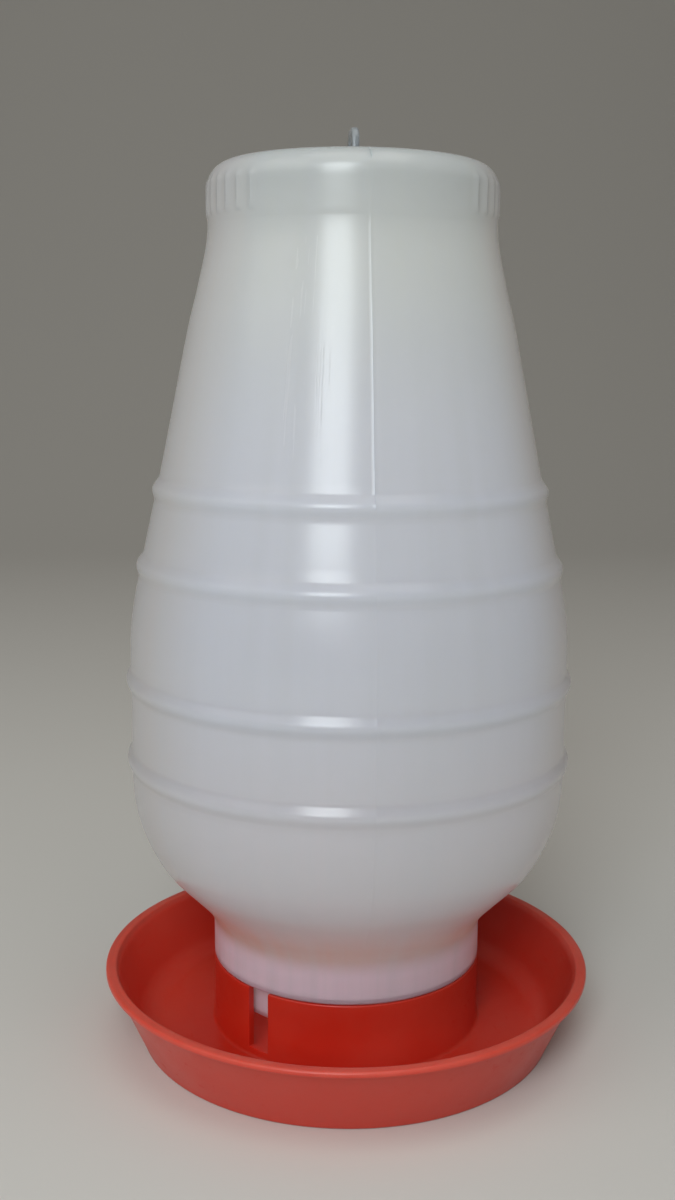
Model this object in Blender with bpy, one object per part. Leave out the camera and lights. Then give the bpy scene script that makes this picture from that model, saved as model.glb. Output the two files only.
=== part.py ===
"""Poultry drinker: a translucent blow-moulded jar that stands mouth down in a red moulded drinking tray.

Two mouldings make the whole object. The tray is one injection moulding: a conical dish with a rolled lip,
a foot ring under its floor and an upright collar in its middle. The jar is one blow moulding: a pear-shaped
body with four strengthening hoops, a grip band with two fields of vertical ribs, a hanging tab on top, and a
neck band that sits on the collar while the narrower mouth plugs inside it. Water runs out of the jar through
two slots in the collar until the trough is full up to the rim of the mouth. Lugs on the mouth turn in under
catches inside the collar; the jar is shown dropped in, with its lugs in the gaps between the catches.

Units are metres, +Z is up, and the origin is the middle of the underside of the foot ring. The parting
plane of the jar is the YZ plane.
"""

import math

import bmesh
import bpy
from mathutils import Vector

# Facets round a full turn
SEGMENTS = 56
MERGE_DISTANCE = 0.00001
SHARP_ANGLE = math.radians(38.0)

# Tray: dish, lip and foot ring
TRAY_RIM_RADIUS = 0.1000
TRAY_HEIGHT = 0.0306
LIP_WIDTH = 0.0046
LIP_THICKNESS = 0.0022
LIP_ROUNDING = 0.0009
FOOT_RADIUS = 0.0856
FOOT_ROUNDING = 0.0012
TRAY_WALL = 0.0022
FLOOR_TOP = 0.0046
FLOOR_THICKNESS = 0.0024
FOOT_WALL = 0.0024
TROUGH_FILLET = 0.0110
TROUGH_FILLET_STEPS = 4

# Tray: collar that carries the jar
COLLAR_RADIUS = 0.0551
COLLAR_WALL = 0.0028
COLLAR_TOP = 0.0330
COLLAR_EDGE = 0.0004
COLLAR_FOOT_FILLET = 0.0015

# Tray: water slots, cut through the collar from its top edge
SLOT_WIDTH = 0.0100
SLOT_AZIMUTH = math.radians(-45.0)
SLOT_SILL = 0.0034
CUTTER_SPARE = 0.0030

# Tray: catches inside the collar
CATCH_COUNT = 4
CATCH_ARC = math.radians(16.0)
CATCH_PROUD = 0.0018
CATCH_HEIGHT = 0.0026
CATCH_BELOW_TOP = 0.0040
CATCH_TURN_FROM_SLOT = math.radians(45.0)
ARC_BLOCK_STEPS = 3

# Jar: wall and mouth
JAR_WALL = 0.0016
SEAT_CLEARANCE = 0.0003
MOUTH_CLEARANCE = 0.0023
MOUTH_DEPTH = 0.0136
MOUTH_EDGE = 0.0005

# Jar: lugs on the mouth
LUG_ARC = math.radians(12.0)
LUG_PROUD = 0.0017
LUG_HEIGHT = 0.0030
LUG_CLEARANCE = 0.0004
LUG_TURN_FROM_CATCH = math.radians(25.0)

# Jar: neck band and body, with heights over the underside of the foot ring
NECK_BAND_HEIGHT = 0.0167
NECK_BAND_EDGE = 0.0006
BELLY_RADIUS = 0.0876
BELLY_LOW = 0.1120
BELLY_HIGH = 0.1630
BAND_UNDERSIDE = 0.3255
BAND_HEIGHT = 0.0252
BAND_RADIUS = 0.0556
BAND_STEP = 0.0003
BAND_STEP_HEIGHT = 0.0016
TOP_EDGE_RADIUS = 0.0090
TOP_CROWN = 0.0012

# Jar: how the body swells, as shares of the height and of the radius between its named sizes
LOWER_SWELL = ((0, 0), (0.11, 0.125), (0.26, 0.39), (0.40, 0.64), (0.565, 0.82), (0.76, 0.95), (1, 1))
LOWER_START_SLOPE = 1.0
LOWER_END_SLOPE = 0.0
UPPER_TAPER = ((0, 0), (0.105, 0.045), (0.26, 0.205), (0.45, 0.42), (0.78, 0.765), (0.87, 0.88), (1, 1))
UPPER_START_SLOPE = 0.0
UPPER_END_SLOPE = 0.5

# Jar: points of the body's section, fewer on the inside, and clear of the hoops by a share of a hoop's width
LOWER_STEPS = 8
UPPER_STEPS = 9
INNER_LOWER_STEPS = 4
INNER_UPPER_STEPS = 4
INNER_HOOP_STEPS = 2
HOOP_CLEAR_SHARE = 0.75
TOP_EDGE_STEPS = 5
INNER_TOP_EDGE_STEPS = 3
TOP_MIDWAY = 0.5

# Jar: strengthening hoops round the body
HOOP_HEIGHTS = (0.1193, 0.1516, 0.1973, 0.2269)
HOOP_WIDTH = 0.0092
HOOP_PROUD = 0.0018
HOOP_STEPS = 5

# Jar: grip ribs on the band, in two fields square to the parting plane
RIB_COUNT = 13
RIB_PITCH = math.radians(7.2)
RIB_WIDTH = 0.0024
RIB_PROUD = 0.0006
RIB_LENGTH = 0.0136
RIB_ABOVE_BAND_UNDERSIDE = 0.0033
RIB_SIDES = 6
RIB_END_SHARE = 0.4

# Jar: hanging tab on top, in the parting plane
TAB_WIDTH = 0.0180
TAB_THICKNESS = 0.0027
TAB_HEIGHT = 0.0122
TAB_CORNER = 0.0055
TAB_HOLE_RADIUS = 0.0035
TAB_HOLE_HEIGHT = 0.0055
TAB_CORNER_STEPS = 4
TAB_HOLE_SIDES = 20

# Plastics: colour as red, green and blue, roughness, and light scattered under the surface
RED_COLOUR = (0.42, 0.022, 0.014)
RED_ROUGHNESS = 0.34
MILKY_COLOUR = (0.62, 0.66, 0.68)
MILKY_ROUGHNESS = 0.38
MILKY_SCATTER = 0.6

# Sizes that follow from those above
COLLAR_BORE = COLLAR_RADIUS - COLLAR_WALL
MOUTH_RADIUS = COLLAR_BORE - MOUTH_CLEARANCE
SHOULDER = COLLAR_TOP + SEAT_CLEARANCE
NECK_BAND_RADIUS = COLLAR_RADIUS
NECK_CREASE = SHOULDER + NECK_BAND_HEIGHT
MOUTH_RIM = SHOULDER - MOUTH_DEPTH
JAR_TOP = BAND_UNDERSIDE + BAND_HEIGHT


def arc_points(centre_r, centre_z, radius, start, end, steps):
    """Points of an arc in the (radius, height) plane, from one angle to another in degrees."""
    points = []
    for step in range(steps + 1):
        angle = math.radians(start + (end - start) * step / steps)
        points.append((centre_r + radius * math.cos(angle), centre_z + radius * math.sin(angle)))
    return points


def smooth_share(stations, share, start_slope, end_slope):
    """Reads a smooth curve through stations, at one share of its length."""
    slopes = [start_slope]
    for before, after in zip(stations[:-2], stations[2:]):
        slopes.append((after[1] - before[1]) / (after[0] - before[0]))
    slopes.append(end_slope)
    index = 0
    while index < len(stations) - 2 and share > stations[index + 1][0]:
        index += 1
    left, right = stations[index], stations[index + 1]
    span = right[0] - left[0]
    t = min(max((share - left[0]) / span, 0.0), 1.0)
    return (
        (2 * t**3 - 3 * t**2 + 1) * left[1]
        + (t**3 - 2 * t**2 + t) * span * slopes[index]
        + (3 * t**2 - 2 * t**3) * right[1]
        + (t**3 - t**2) * span * slopes[index + 1]
    )


def body_radius(height):
    """Outer radius of the jar's body without its hoops."""
    if height <= BELLY_LOW:
        share = (height - NECK_CREASE) / (BELLY_LOW - NECK_CREASE)
        swell = smooth_share(LOWER_SWELL, share, LOWER_START_SLOPE, LOWER_END_SLOPE)
        return NECK_BAND_RADIUS + (BELLY_RADIUS - NECK_BAND_RADIUS) * swell
    if height <= BELLY_HIGH:
        return BELLY_RADIUS
    share = (height - BELLY_HIGH) / (BAND_UNDERSIDE - BELLY_HIGH)
    taper = smooth_share(UPPER_TAPER, share, UPPER_START_SLOPE, UPPER_END_SLOPE)
    return BELLY_RADIUS - (BELLY_RADIUS - BAND_RADIUS + BAND_STEP) * taper


def hoop_swell(height):
    """How far a hoop stands proud of the body at this height."""
    for middle in HOOP_HEIGHTS:
        away = abs(height - middle) / (HOOP_WIDTH / 2)
        if away < 1.0:
            return HOOP_PROUD * 0.5 * (1.0 + math.cos(math.pi * away))
    return 0.0


def body_heights(lower_steps, upper_steps, hoop_steps):
    """Heights at which the body's profile has a point, from the neck crease up to the band."""
    heights = [NECK_CREASE + (BELLY_LOW - NECK_CREASE) * i / lower_steps for i in range(lower_steps + 1)]
    heights += [BELLY_HIGH + (BAND_UNDERSIDE - BELLY_HIGH) * i / upper_steps for i in range(upper_steps + 1)]
    clear = HOOP_WIDTH * HOOP_CLEAR_SHARE
    heights = [h for h in heights if all(abs(h - middle) > clear for middle in HOOP_HEIGHTS)]
    for middle in HOOP_HEIGHTS:
        heights += [middle + HOOP_WIDTH * (i / hoop_steps - 0.5) for i in range(hoop_steps + 1)]
    return sorted(heights)


def jar_profile():
    """Half section of the jar, from the middle of its top down the outside and back up the inside."""
    profile = [(0.0, JAR_TOP)]
    flat_end = BAND_RADIUS - TOP_EDGE_RADIUS
    profile.append((flat_end * TOP_MIDWAY, JAR_TOP - TOP_CROWN * TOP_MIDWAY**2))
    edge_z = JAR_TOP - TOP_CROWN - TOP_EDGE_RADIUS
    profile += arc_points(flat_end, edge_z, TOP_EDGE_RADIUS, 90, 0, TOP_EDGE_STEPS)
    profile.append((BAND_RADIUS, BAND_UNDERSIDE + BAND_STEP_HEIGHT))
    for height in reversed(body_heights(LOWER_STEPS, UPPER_STEPS, HOOP_STEPS)):
        profile.append((body_radius(height) + hoop_swell(height), height))
    profile.append((NECK_BAND_RADIUS, SHOULDER + NECK_BAND_EDGE))
    profile.append((NECK_BAND_RADIUS - NECK_BAND_EDGE, SHOULDER))
    profile.append((MOUTH_RADIUS, SHOULDER))
    profile.append((MOUTH_RADIUS, MOUTH_RIM + MOUTH_EDGE))
    profile.append((MOUTH_RADIUS - MOUTH_EDGE, MOUTH_RIM))
    profile.append((MOUTH_RADIUS - JAR_WALL, MOUTH_RIM))
    profile.append((MOUTH_RADIUS - JAR_WALL, SHOULDER + JAR_WALL))
    profile.append((NECK_BAND_RADIUS - JAR_WALL, SHOULDER + JAR_WALL))
    for height in body_heights(INNER_LOWER_STEPS, INNER_UPPER_STEPS, INNER_HOOP_STEPS):
        profile.append((body_radius(height) + hoop_swell(height) - JAR_WALL, height + inner_rise(height)))
    inner_edge = TOP_EDGE_RADIUS - JAR_WALL
    profile += arc_points(flat_end, edge_z, inner_edge, 0, 90, INNER_TOP_EDGE_STEPS)
    profile.append((0.0, JAR_TOP - JAR_WALL))
    return profile


def inner_rise(height):
    """Lifts the inside of the wall where the body's underside slopes, so the wall keeps its thickness."""
    if height >= BELLY_LOW:
        return 0.0
    return JAR_WALL * (1.0 - (height - NECK_CREASE) / (BELLY_LOW - NECK_CREASE))


def tray_profile():
    """Half section of the tray, from the middle of its floor over the collar and the lip to the underside."""
    lip_inner = TRAY_RIM_RADIUS - LIP_WIDTH
    profile = [(0.0, FLOOR_TOP)]
    profile.append((COLLAR_BORE, FLOOR_TOP))
    profile.append((COLLAR_BORE, COLLAR_TOP - COLLAR_EDGE))
    profile.append((COLLAR_BORE + COLLAR_EDGE, COLLAR_TOP))
    profile.append((COLLAR_RADIUS - COLLAR_EDGE, COLLAR_TOP))
    profile.append((COLLAR_RADIUS, COLLAR_TOP - COLLAR_EDGE))
    fillet_z = FLOOR_TOP + COLLAR_FOOT_FILLET
    profile += arc_points(COLLAR_RADIUS + COLLAR_FOOT_FILLET, fillet_z, COLLAR_FOOT_FILLET, 180, 270, 2)
    profile += trough_wall(lip_inner)
    rounding_z = TRAY_HEIGHT - LIP_ROUNDING
    profile += arc_points(lip_inner + LIP_ROUNDING, rounding_z, LIP_ROUNDING, 150, 90, 2)
    profile += arc_points(TRAY_RIM_RADIUS - LIP_ROUNDING, rounding_z, LIP_ROUNDING, 90, 0, 3)
    profile.append((TRAY_RIM_RADIUS, TRAY_HEIGHT - LIP_THICKNESS))
    outer_top = lip_inner + TRAY_WALL
    profile.append((outer_top, TRAY_HEIGHT - LIP_THICKNESS))
    profile.append((FOOT_RADIUS, FOOT_ROUNDING))
    profile.append((FOOT_RADIUS - FOOT_ROUNDING, 0.0))
    foot_inner = FOOT_RADIUS - FOOT_WALL - FOOT_ROUNDING
    profile.append((foot_inner, 0.0))
    profile.append((foot_inner, FLOOR_TOP - FLOOR_THICKNESS))
    profile.append((0.0, FLOOR_TOP - FLOOR_THICKNESS))
    return profile


def trough_wall(lip_inner):
    """The dish inside: its flat floor, the large fillet and the conical wall up to the lip."""
    wall_foot = foot_of_inner_wall(lip_inner)
    lean = math.atan2(lip_inner - wall_foot, TRAY_HEIGHT - FLOOR_TOP)
    sweep = 90.0 - math.degrees(lean)
    centre_r = wall_foot - TROUGH_FILLET * math.tan(math.radians(sweep) / 2)
    centre_z = FLOOR_TOP + TROUGH_FILLET
    return arc_points(centre_r, centre_z, TROUGH_FILLET, 270, 270 + sweep, TROUGH_FILLET_STEPS)


def foot_of_inner_wall(lip_inner):
    """Radius at which the line of the inner wall meets the floor."""
    outer_top = lip_inner + TRAY_WALL
    lean = (outer_top - FOOT_RADIUS) / (TRAY_HEIGHT - LIP_THICKNESS - FOOT_ROUNDING)
    return lip_inner - lean * (TRAY_HEIGHT - FLOOR_TOP)


def make_material(name, colour, roughness, scatter):
    """A plain plastic, with some light scattered under the surface where it is milky."""
    material = bpy.data.materials.new(name)
    material.use_nodes = True
    shader = material.node_tree.nodes["Principled BSDF"]
    shader.inputs["Base Color"].default_value = (*colour, 1.0)
    shader.inputs["Roughness"].default_value = roughness
    shader.inputs["Metallic"].default_value = 0.0
    shader.inputs["Subsurface Weight"].default_value = scatter
    shader.inputs["Subsurface Scale"].default_value = JAR_WALL
    material.diffuse_color = (*colour, 1.0)
    return material


def add_object(name, mesh):
    obj = bpy.data.objects.new(name, mesh)
    bpy.context.scene.collection.objects.link(obj)
    return obj


def add_helper(name, build):
    """An object that is joined to a node or cut from it, filled by a function that works on a bmesh."""
    work = bmesh.new()
    build(work)
    bmesh.ops.recalc_face_normals(work, faces=work.faces)
    mesh = bpy.data.meshes.new(name)
    work.to_mesh(mesh)
    work.free()
    helper = add_object(name, mesh)
    helper.hide_render = True
    helper.display_type = "WIRE"
    return helper


def turned(name, profile):
    """An object turned round the Z axis from a half section."""
    mesh = bpy.data.meshes.new(name)
    vertices = [(radius, 0.0, height) for radius, height in profile]
    edges = [(i, i + 1) for i in range(len(vertices) - 1)]
    mesh.from_pydata(vertices, edges, [])
    obj = add_object(name, mesh)
    screw = obj.modifiers.new("Turn", "SCREW")
    screw.axis = "Z"
    screw.angle = math.tau
    screw.steps = SEGMENTS
    screw.render_steps = SEGMENTS
    screw.use_merge_vertices = True
    screw.merge_threshold = MERGE_DISTANCE
    return obj


def combine(target, helper, operation):
    """Joins a helper to a node, or cuts it out."""
    modifier = target.modifiers.new(helper.name, "BOOLEAN")
    modifier.operation = operation
    modifier.solver = "EXACT"
    modifier.object = helper


def finish(obj, helpers, material):
    """Turns the modifiers into a plain mesh, shades round faces smooth and removes the helpers."""
    graph = bpy.context.evaluated_depsgraph_get()
    finished = bpy.data.meshes.new_from_object(obj.evaluated_get(graph))
    obj.modifiers.clear()
    obj.data = finished
    finished.name = obj.name
    finished.shade_smooth()
    finished.set_sharp_from_angle(angle=SHARP_ANGLE)
    finished.materials.clear()
    finished.materials.append(material)
    for helper in helpers:
        bpy.data.objects.remove(helper, do_unlink=True)


def outward(azimuth):
    """Unit vector that points away from the axis. Azimuth 0 is -Y and it grows towards +X."""
    return Vector((math.sin(azimuth), -math.cos(azimuth), 0.0))


def loft(work, rings):
    """A closed bar through rings that have as many points each, with flat ends."""
    loops = [[work.verts.new(point) for point in ring] for ring in rings]
    for lower, upper in zip(loops[:-1], loops[1:]):
        for i in range(len(lower)):
            j = (i + 1) % len(lower)
            work.faces.new((lower[i], lower[j], upper[j], upper[i]))
    work.faces.new(loops[0][::-1])
    work.faces.new(loops[-1])


def add_arc_block(work, inner, outer, low, high, azimuth, arc):
    """A short curved block between two radii and two heights."""
    rings = []
    for step in range(ARC_BLOCK_STEPS + 1):
        away = outward(azimuth - arc / 2 + arc * step / ARC_BLOCK_STEPS)
        corners = ((inner, low), (outer, low), (outer, high), (inner, high))
        rings.append([away * radius + Vector((0.0, 0.0, height)) for radius, height in corners])
    loft(work, rings)


def slot_bar(work):
    """One bar across the collar, which cuts the two water slots that face each other."""
    low = FLOOR_TOP + SLOT_SILL
    high = COLLAR_TOP + CUTTER_SPARE
    reach = COLLAR_RADIUS + CUTTER_SPARE
    along = outward(SLOT_AZIMUTH)
    across = outward(SLOT_AZIMUTH + math.pi / 2)
    rings = []
    for height in (low, high):
        corners = ((-1, -1), (1, -1), (1, 1), (-1, 1))
        level = Vector((0.0, 0.0, height))
        rings.append([along * reach * a + across * SLOT_WIDTH / 2 * b + level for a, b in corners])
    loft(work, rings)


def catch_azimuth(index):
    return SLOT_AZIMUTH + CATCH_TURN_FROM_SLOT + math.tau * index / CATCH_COUNT


def catch_blocks(work):
    """Catches inside the collar, under which the jar's lugs turn in."""
    high = COLLAR_TOP - CATCH_BELOW_TOP
    low = high - CATCH_HEIGHT
    for index in range(CATCH_COUNT):
        inner = COLLAR_BORE - CATCH_PROUD
        add_arc_block(work, inner, COLLAR_BORE + COLLAR_WALL / 2, low, high, catch_azimuth(index), CATCH_ARC)


def lug_blocks(work):
    """Lugs on the mouth, in the gaps between the catches."""
    high = COLLAR_TOP - CATCH_BELOW_TOP - CATCH_HEIGHT - LUG_CLEARANCE
    for index in range(CATCH_COUNT):
        azimuth = catch_azimuth(index) + LUG_TURN_FROM_CATCH
        inner = MOUTH_RADIUS - JAR_WALL / 2
        add_arc_block(work, inner, MOUTH_RADIUS + LUG_PROUD, high - LUG_HEIGHT, high, azimuth, LUG_ARC)


def grip_ribs(work):
    """Two fields of upright ribs on the band, each rib a flattened bar that narrows at its ends."""
    sink = JAR_WALL / 2
    middle_radius = BAND_RADIUS + (RIB_PROUD - sink) / 2
    low = BAND_UNDERSIDE + RIB_ABOVE_BAND_UNDERSIDE
    high = low + RIB_LENGTH
    taper = RIB_WIDTH / 2
    levels = ((low, RIB_END_SHARE), (low + taper, 1.0), (high - taper, 1.0), (high, RIB_END_SHARE))
    for side in (1, -1):
        for index in range(RIB_COUNT):
            azimuth = side * math.pi / 2 + (index - (RIB_COUNT - 1) / 2) * RIB_PITCH
            away = outward(azimuth)
            along = outward(azimuth + math.pi / 2)
            rings = []
            for height, share in levels:
                middle = away * middle_radius + Vector((0.0, 0.0, height))
                ring = []
                for corner in range(RIB_SIDES):
                    angle = math.tau * corner / RIB_SIDES
                    depth = away * (RIB_PROUD + sink) / 2 * math.sin(angle)
                    ring.append(middle + share * (along * RIB_WIDTH / 2 * math.cos(angle) + depth))
                rings.append(ring)
            loft(work, rings)


def hanging_tab(work):
    """The flat tab that the mould pinches on top, with round upper corners."""
    low = JAR_TOP - JAR_WALL / 2
    high = JAR_TOP + TAB_HEIGHT
    half = TAB_WIDTH / 2
    outline = [(-half, low), (half, low)]
    outline += arc_points(half - TAB_CORNER, high - TAB_CORNER, TAB_CORNER, 0, 90, TAB_CORNER_STEPS)
    outline += arc_points(TAB_CORNER - half, high - TAB_CORNER, TAB_CORNER, 90, 180, TAB_CORNER_STEPS)
    rings = []
    for side in (-TAB_THICKNESS / 2, TAB_THICKNESS / 2):
        rings.append([Vector((side, along, height)) for along, height in outline])
    loft(work, rings)


def tab_hole(work):
    """The round hole through the tab, which takes the hanging cord or hook."""
    centre = JAR_TOP + TAB_HOLE_HEIGHT
    reach = TAB_THICKNESS / 2 + CUTTER_SPARE
    rings = []
    for side in (-reach, reach):
        ring = arc_points(0.0, centre, TAB_HOLE_RADIUS, 0, 360, TAB_HOLE_SIDES)[:-1]
        rings.append([Vector((side, along, height)) for along, height in ring])
    loft(work, rings)


def make_tray():
    tray = turned("tray", tray_profile())
    catches = add_helper("catch_blocks", catch_blocks)
    slots = add_helper("slot_bar", slot_bar)
    combine(tray, catches, "UNION")
    combine(tray, slots, "DIFFERENCE")
    red = make_material("red_plastic", RED_COLOUR, RED_ROUGHNESS, 0.0)
    finish(tray, (catches, slots), red)


def make_jar():
    jar = turned("jar", jar_profile())
    joined = [add_helper("grip_ribs", grip_ribs), add_helper("lug_blocks", lug_blocks)]
    joined.append(add_helper("hanging_tab", hanging_tab))
    for helper in joined:
        combine(jar, helper, "UNION")
    hole = add_helper("tab_hole", tab_hole)
    combine(jar, hole, "DIFFERENCE")
    milky = make_material("milky_plastic", MILKY_COLOUR, MILKY_ROUGHNESS, MILKY_SCATTER)
    finish(jar, (*joined, hole), milky)


def main():
    for obj in list(bpy.data.objects):
        bpy.data.objects.remove(obj, do_unlink=True)
    make_tray()
    make_jar()


main()
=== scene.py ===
"""Poultry drinker, finished look: a milky blow-moulded jar standing mouth down in a red moulded tray.

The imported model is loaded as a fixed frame. The jar and the tray are then modelled again with finer walls,
rounded edges, a mould seam and procedural plastics, and each stands for its node of the frame.
Units are metres, +Z is up, and the jar's parting plane is the YZ plane.
"""

import math

import bmesh
import bpy
from bpy.props import FloatProperty, FloatVectorProperty, IntProperty, PointerProperty
from mathutils import Matrix, Vector


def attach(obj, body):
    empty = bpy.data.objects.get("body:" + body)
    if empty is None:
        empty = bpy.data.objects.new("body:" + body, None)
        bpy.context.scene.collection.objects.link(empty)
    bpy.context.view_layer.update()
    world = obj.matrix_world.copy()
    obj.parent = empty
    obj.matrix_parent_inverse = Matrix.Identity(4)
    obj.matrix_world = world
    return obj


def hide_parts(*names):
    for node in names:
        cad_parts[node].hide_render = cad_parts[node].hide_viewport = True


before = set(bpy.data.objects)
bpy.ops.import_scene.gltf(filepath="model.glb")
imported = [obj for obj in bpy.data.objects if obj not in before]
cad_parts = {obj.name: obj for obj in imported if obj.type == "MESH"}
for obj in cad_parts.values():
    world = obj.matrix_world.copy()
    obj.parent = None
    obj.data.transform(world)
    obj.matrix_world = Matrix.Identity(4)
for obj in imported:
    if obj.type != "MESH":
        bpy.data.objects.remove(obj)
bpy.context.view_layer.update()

bl_info = {
    "name": "Poultry Drinker",
    "version": (1, 0, 0),
    "blender": (4, 5, 0),
    "location": "View3D > Sidebar > Drinker",
    "description": "Models a milky drinker jar, its red tray and a plain studio round the packed frame",
    "category": "Add Mesh",
}

MM = 0.001

# The jar's body swells from the neck to the belly and tapers from the belly to the grip band.
# Stations are shares of the height and of the radius between the named sizes.
LOWER_SWELL = ((0.0, 0.0), (0.11, 0.125), (0.26, 0.39), (0.40, 0.64), (0.565, 0.82), (0.76, 0.95), (1.0, 1.0))
LOWER_END_SLOPES = (1.0, 0.0)
UPPER_TAPER = (
    (0.0, 0.0), (0.105, 0.045), (0.26, 0.205), (0.45, 0.42), (0.78, 0.765), (0.87, 0.88), (1.0, 1.0)
)
UPPER_END_SLOPES = (0.0, 0.12)

# Middles of the four strengthening hoops over the ground, and the steps across each. A hoop's section is one
# wave raised to a power, and a power under 1 makes it fuller.
HOOP_HEIGHTS = (0.1193, 0.1516, 0.1973, 0.2269)
HOOP_STEPS = 12
HOOP_POWER = 0.8

# Facets round a turn: the grip ribs' pitch of 7.2 degrees is six facets
JAR_FACETS = 300
TRAY_FACETS = 320
RIB_PITCH = math.radians(7.2)
RIBS_EACH_SIDE_OF_MIDDLE = 6

# Edges that turn by fewer degrees than this are shaded smooth
SMOOTH_UP_TO = 34

# Azimuth 0 is the front, -Y, and azimuths grow towards +X. Catches and lugs repeat at equal turns, and the
# two water slots lie opposite each other.
SLOT_AZIMUTH = math.radians(-45.0)
CATCH_AZIMUTH = 0.0
CATCH_SWEEP = math.radians(16.0)
LUG_AZIMUTH = math.radians(25.0)
LUG_SWEEP = math.radians(12.0)

# The rubbed patch with scratches on the jar: its middle and half its sweep in radians, then its two ends
RUB_AZIMUTH = -0.33
RUB_HALF_SWEEP = 0.16
RUB_LOW = 0.232
RUB_HIGH = 0.322

JAR_SLOT = "milky_plastic"
TRAY_SLOT = "red_plastic"

FLOOR_WIDTH = 9.0
FLOOR_DEPTH = 6.0
BACKDROP_HEIGHT = 4.0
BACKDROP_BEND = 1.6

# Soft windows: azimuth from the camera and elevation in degrees and distance, then size, watts and tint
WINDOWS = {
    "key_window": ((-11, 29, 1.7), (0.62, 0.96), 15.6, (0.90, 0.97, 1.0)),
    "overhead": ((20, 72, 1.9), (1.6, 1.6), 10.5, (1.0, 0.98, 0.94)),
    "left_window": ((-60, 40, 2.0), (1.4, 1.4), 5.8, (1.0, 0.96, 0.89)),
}
WINDOW_AIM = (0.0, 0.0, 0.2)
GLOW_HEIGHTS = (0.10, 0.165, 0.235, 0.305)
GLOW_POWER = 0.041
GLOW_TINT = (1.0, 0.91, 0.76)
GLOW_RADIUS = 0.025
ROOM_TINT = (1.0, 0.94, 0.84, 1.0)
ROOM_STRENGTH = 0.12


def length(name, description, default):
    """A size in metres."""
    return FloatProperty(
        name=name, description=description, default=default, min=0.0, unit="LENGTH", precision=4
    )


def angle(name, description, degrees):
    return FloatProperty(name=name, description=description, default=math.radians(degrees), subtype="ANGLE")


def colour(name, description, default):
    return FloatVectorProperty(
        name=name, description=description, default=default, size=3, min=0.0, max=1.0, subtype="COLOR"
    )


class DrinkerJarSettings(bpy.types.PropertyGroup):
    """Sizes of the jar."""

    wall: length("Wall", "Thickness of the blown wall", 0.0016)
    mouth_radius: length("Mouth radius", "Outside of the mouth that plugs into the collar", 0.0500)
    mouth_rim: length("Mouth rim height", "Height of the mouth's rim, which sets the water level", 0.0197)
    shoulder: length("Shoulder height", "Height of the step that sits on the collar", 0.0333)
    neck_radius: length("Neck band radius", "Outside of the neck band over the collar", 0.0551)
    crease: length("Crease height", "Height at which the body swells out of the neck band", 0.0500)
    belly_radius: length("Belly radius", "Outside of the widest part", 0.0876)
    belly_low: length("Belly low", "Height at which the belly starts", 0.1120)
    belly_high: length("Belly high", "Height at which the belly ends", 0.1630)
    band_underside: length("Grip band underside", "Height of the lower edge of the grip band", 0.3255)
    band_height: length("Grip band height", "Height of the grip band with its rounded top edge", 0.0252)
    band_radius: length("Grip band radius", "Outside of the grip band", 0.0556)
    band_step: length("Grip band step", "How far the grip band stands over the body below it", 0.00006)
    top_edge: length("Top edge radius", "Rounding of the top edge", 0.0090)
    top_crown: length("Top crown", "Rise of the top towards its middle", 0.0012)
    hoop_width: length("Hoop width", "Width of a strengthening hoop", 0.0092)
    hoop_proud: length("Hoop height", "How far a hoop stands out of the body", 0.0018)
    rib_proud: length("Grip rib height", "How far a grip rib stands out of the band", 0.0006)
    rib_low: length("Grip rib low end", "Height of the lower ends of the grip ribs", 0.3288)
    rib_high: length("Grip rib high end", "Height of the upper ends of the grip ribs", 0.3430)
    seam_width: length("Seam width", "Width of the raised mould seam", 0.00036)
    seam_proud: length("Seam height", "Height of the raised mould seam", 0.00006)
    tab_width: length("Tab width", "Width of the hanging tab", 0.0180)
    tab_thickness: length("Tab thickness", "Thickness of the hanging tab", 0.0027)
    tab_height: length("Tab height", "Height of the hanging tab over the top", 0.0122)
    tab_corner: length("Tab corner", "Radius of the tab's upper corners", 0.0055)
    tab_hole: length("Tab hole radius", "Radius of the hole for a cord or hook", 0.0035)
    tab_hole_height: length("Tab hole height", "Height of the hole's middle over the top", 0.0055)


class DrinkerTraySettings(bpy.types.PropertyGroup):
    """Sizes of the tray."""

    rim_radius: length("Rim radius", "Outside of the lip", 0.1000)
    height: length("Height", "Height of the lip over the ground", 0.0306)
    lip_width: length("Lip width", "Width of the lip", 0.0046)
    lip_thickness: length("Lip thickness", "Depth of the lip's outer edge", 0.0022)
    foot_radius: length("Foot radius", "Outside of the wall at the ground", 0.0856)
    foot_rounding: length("Foot rounding", "Rounding of the wall's lower edge", 0.0012)
    foot_wall: length("Foot wall", "Width of the ring that the tray stands on", 0.0024)
    wall: length("Wall", "Thickness of the conical wall, level across", 0.0022)
    floor_top: length("Floor height", "Height of the trough's floor", 0.0046)
    floor_thickness: length("Floor thickness", "Thickness of the floor", 0.0024)
    fillet: length("Trough fillet", "Radius between floor and wall", 0.0110)
    collar_radius: length("Collar radius", "Outside of the collar", 0.0551)
    collar_wall: length("Collar wall", "Thickness of the collar", 0.0028)
    collar_top: length("Collar top", "Height of the collar's top edge", 0.0330)
    slot_width: length("Slot width", "Width of a water slot", 0.0100)
    slot_sill: length("Slot sill", "Height of a slot's lower edge over the floor", 0.0034)
    catch_proud: length("Catch depth", "How far a catch reaches into the collar", 0.0018)
    catch_height: length("Catch height", "Height of a catch", 0.0026)
    catch_below_top: length("Catch place", "Distance from the collar's top to a catch", 0.0040)
    catch_count: IntProperty(name="Catches", description="Number of catches and of lugs", default=4, min=1)


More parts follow.
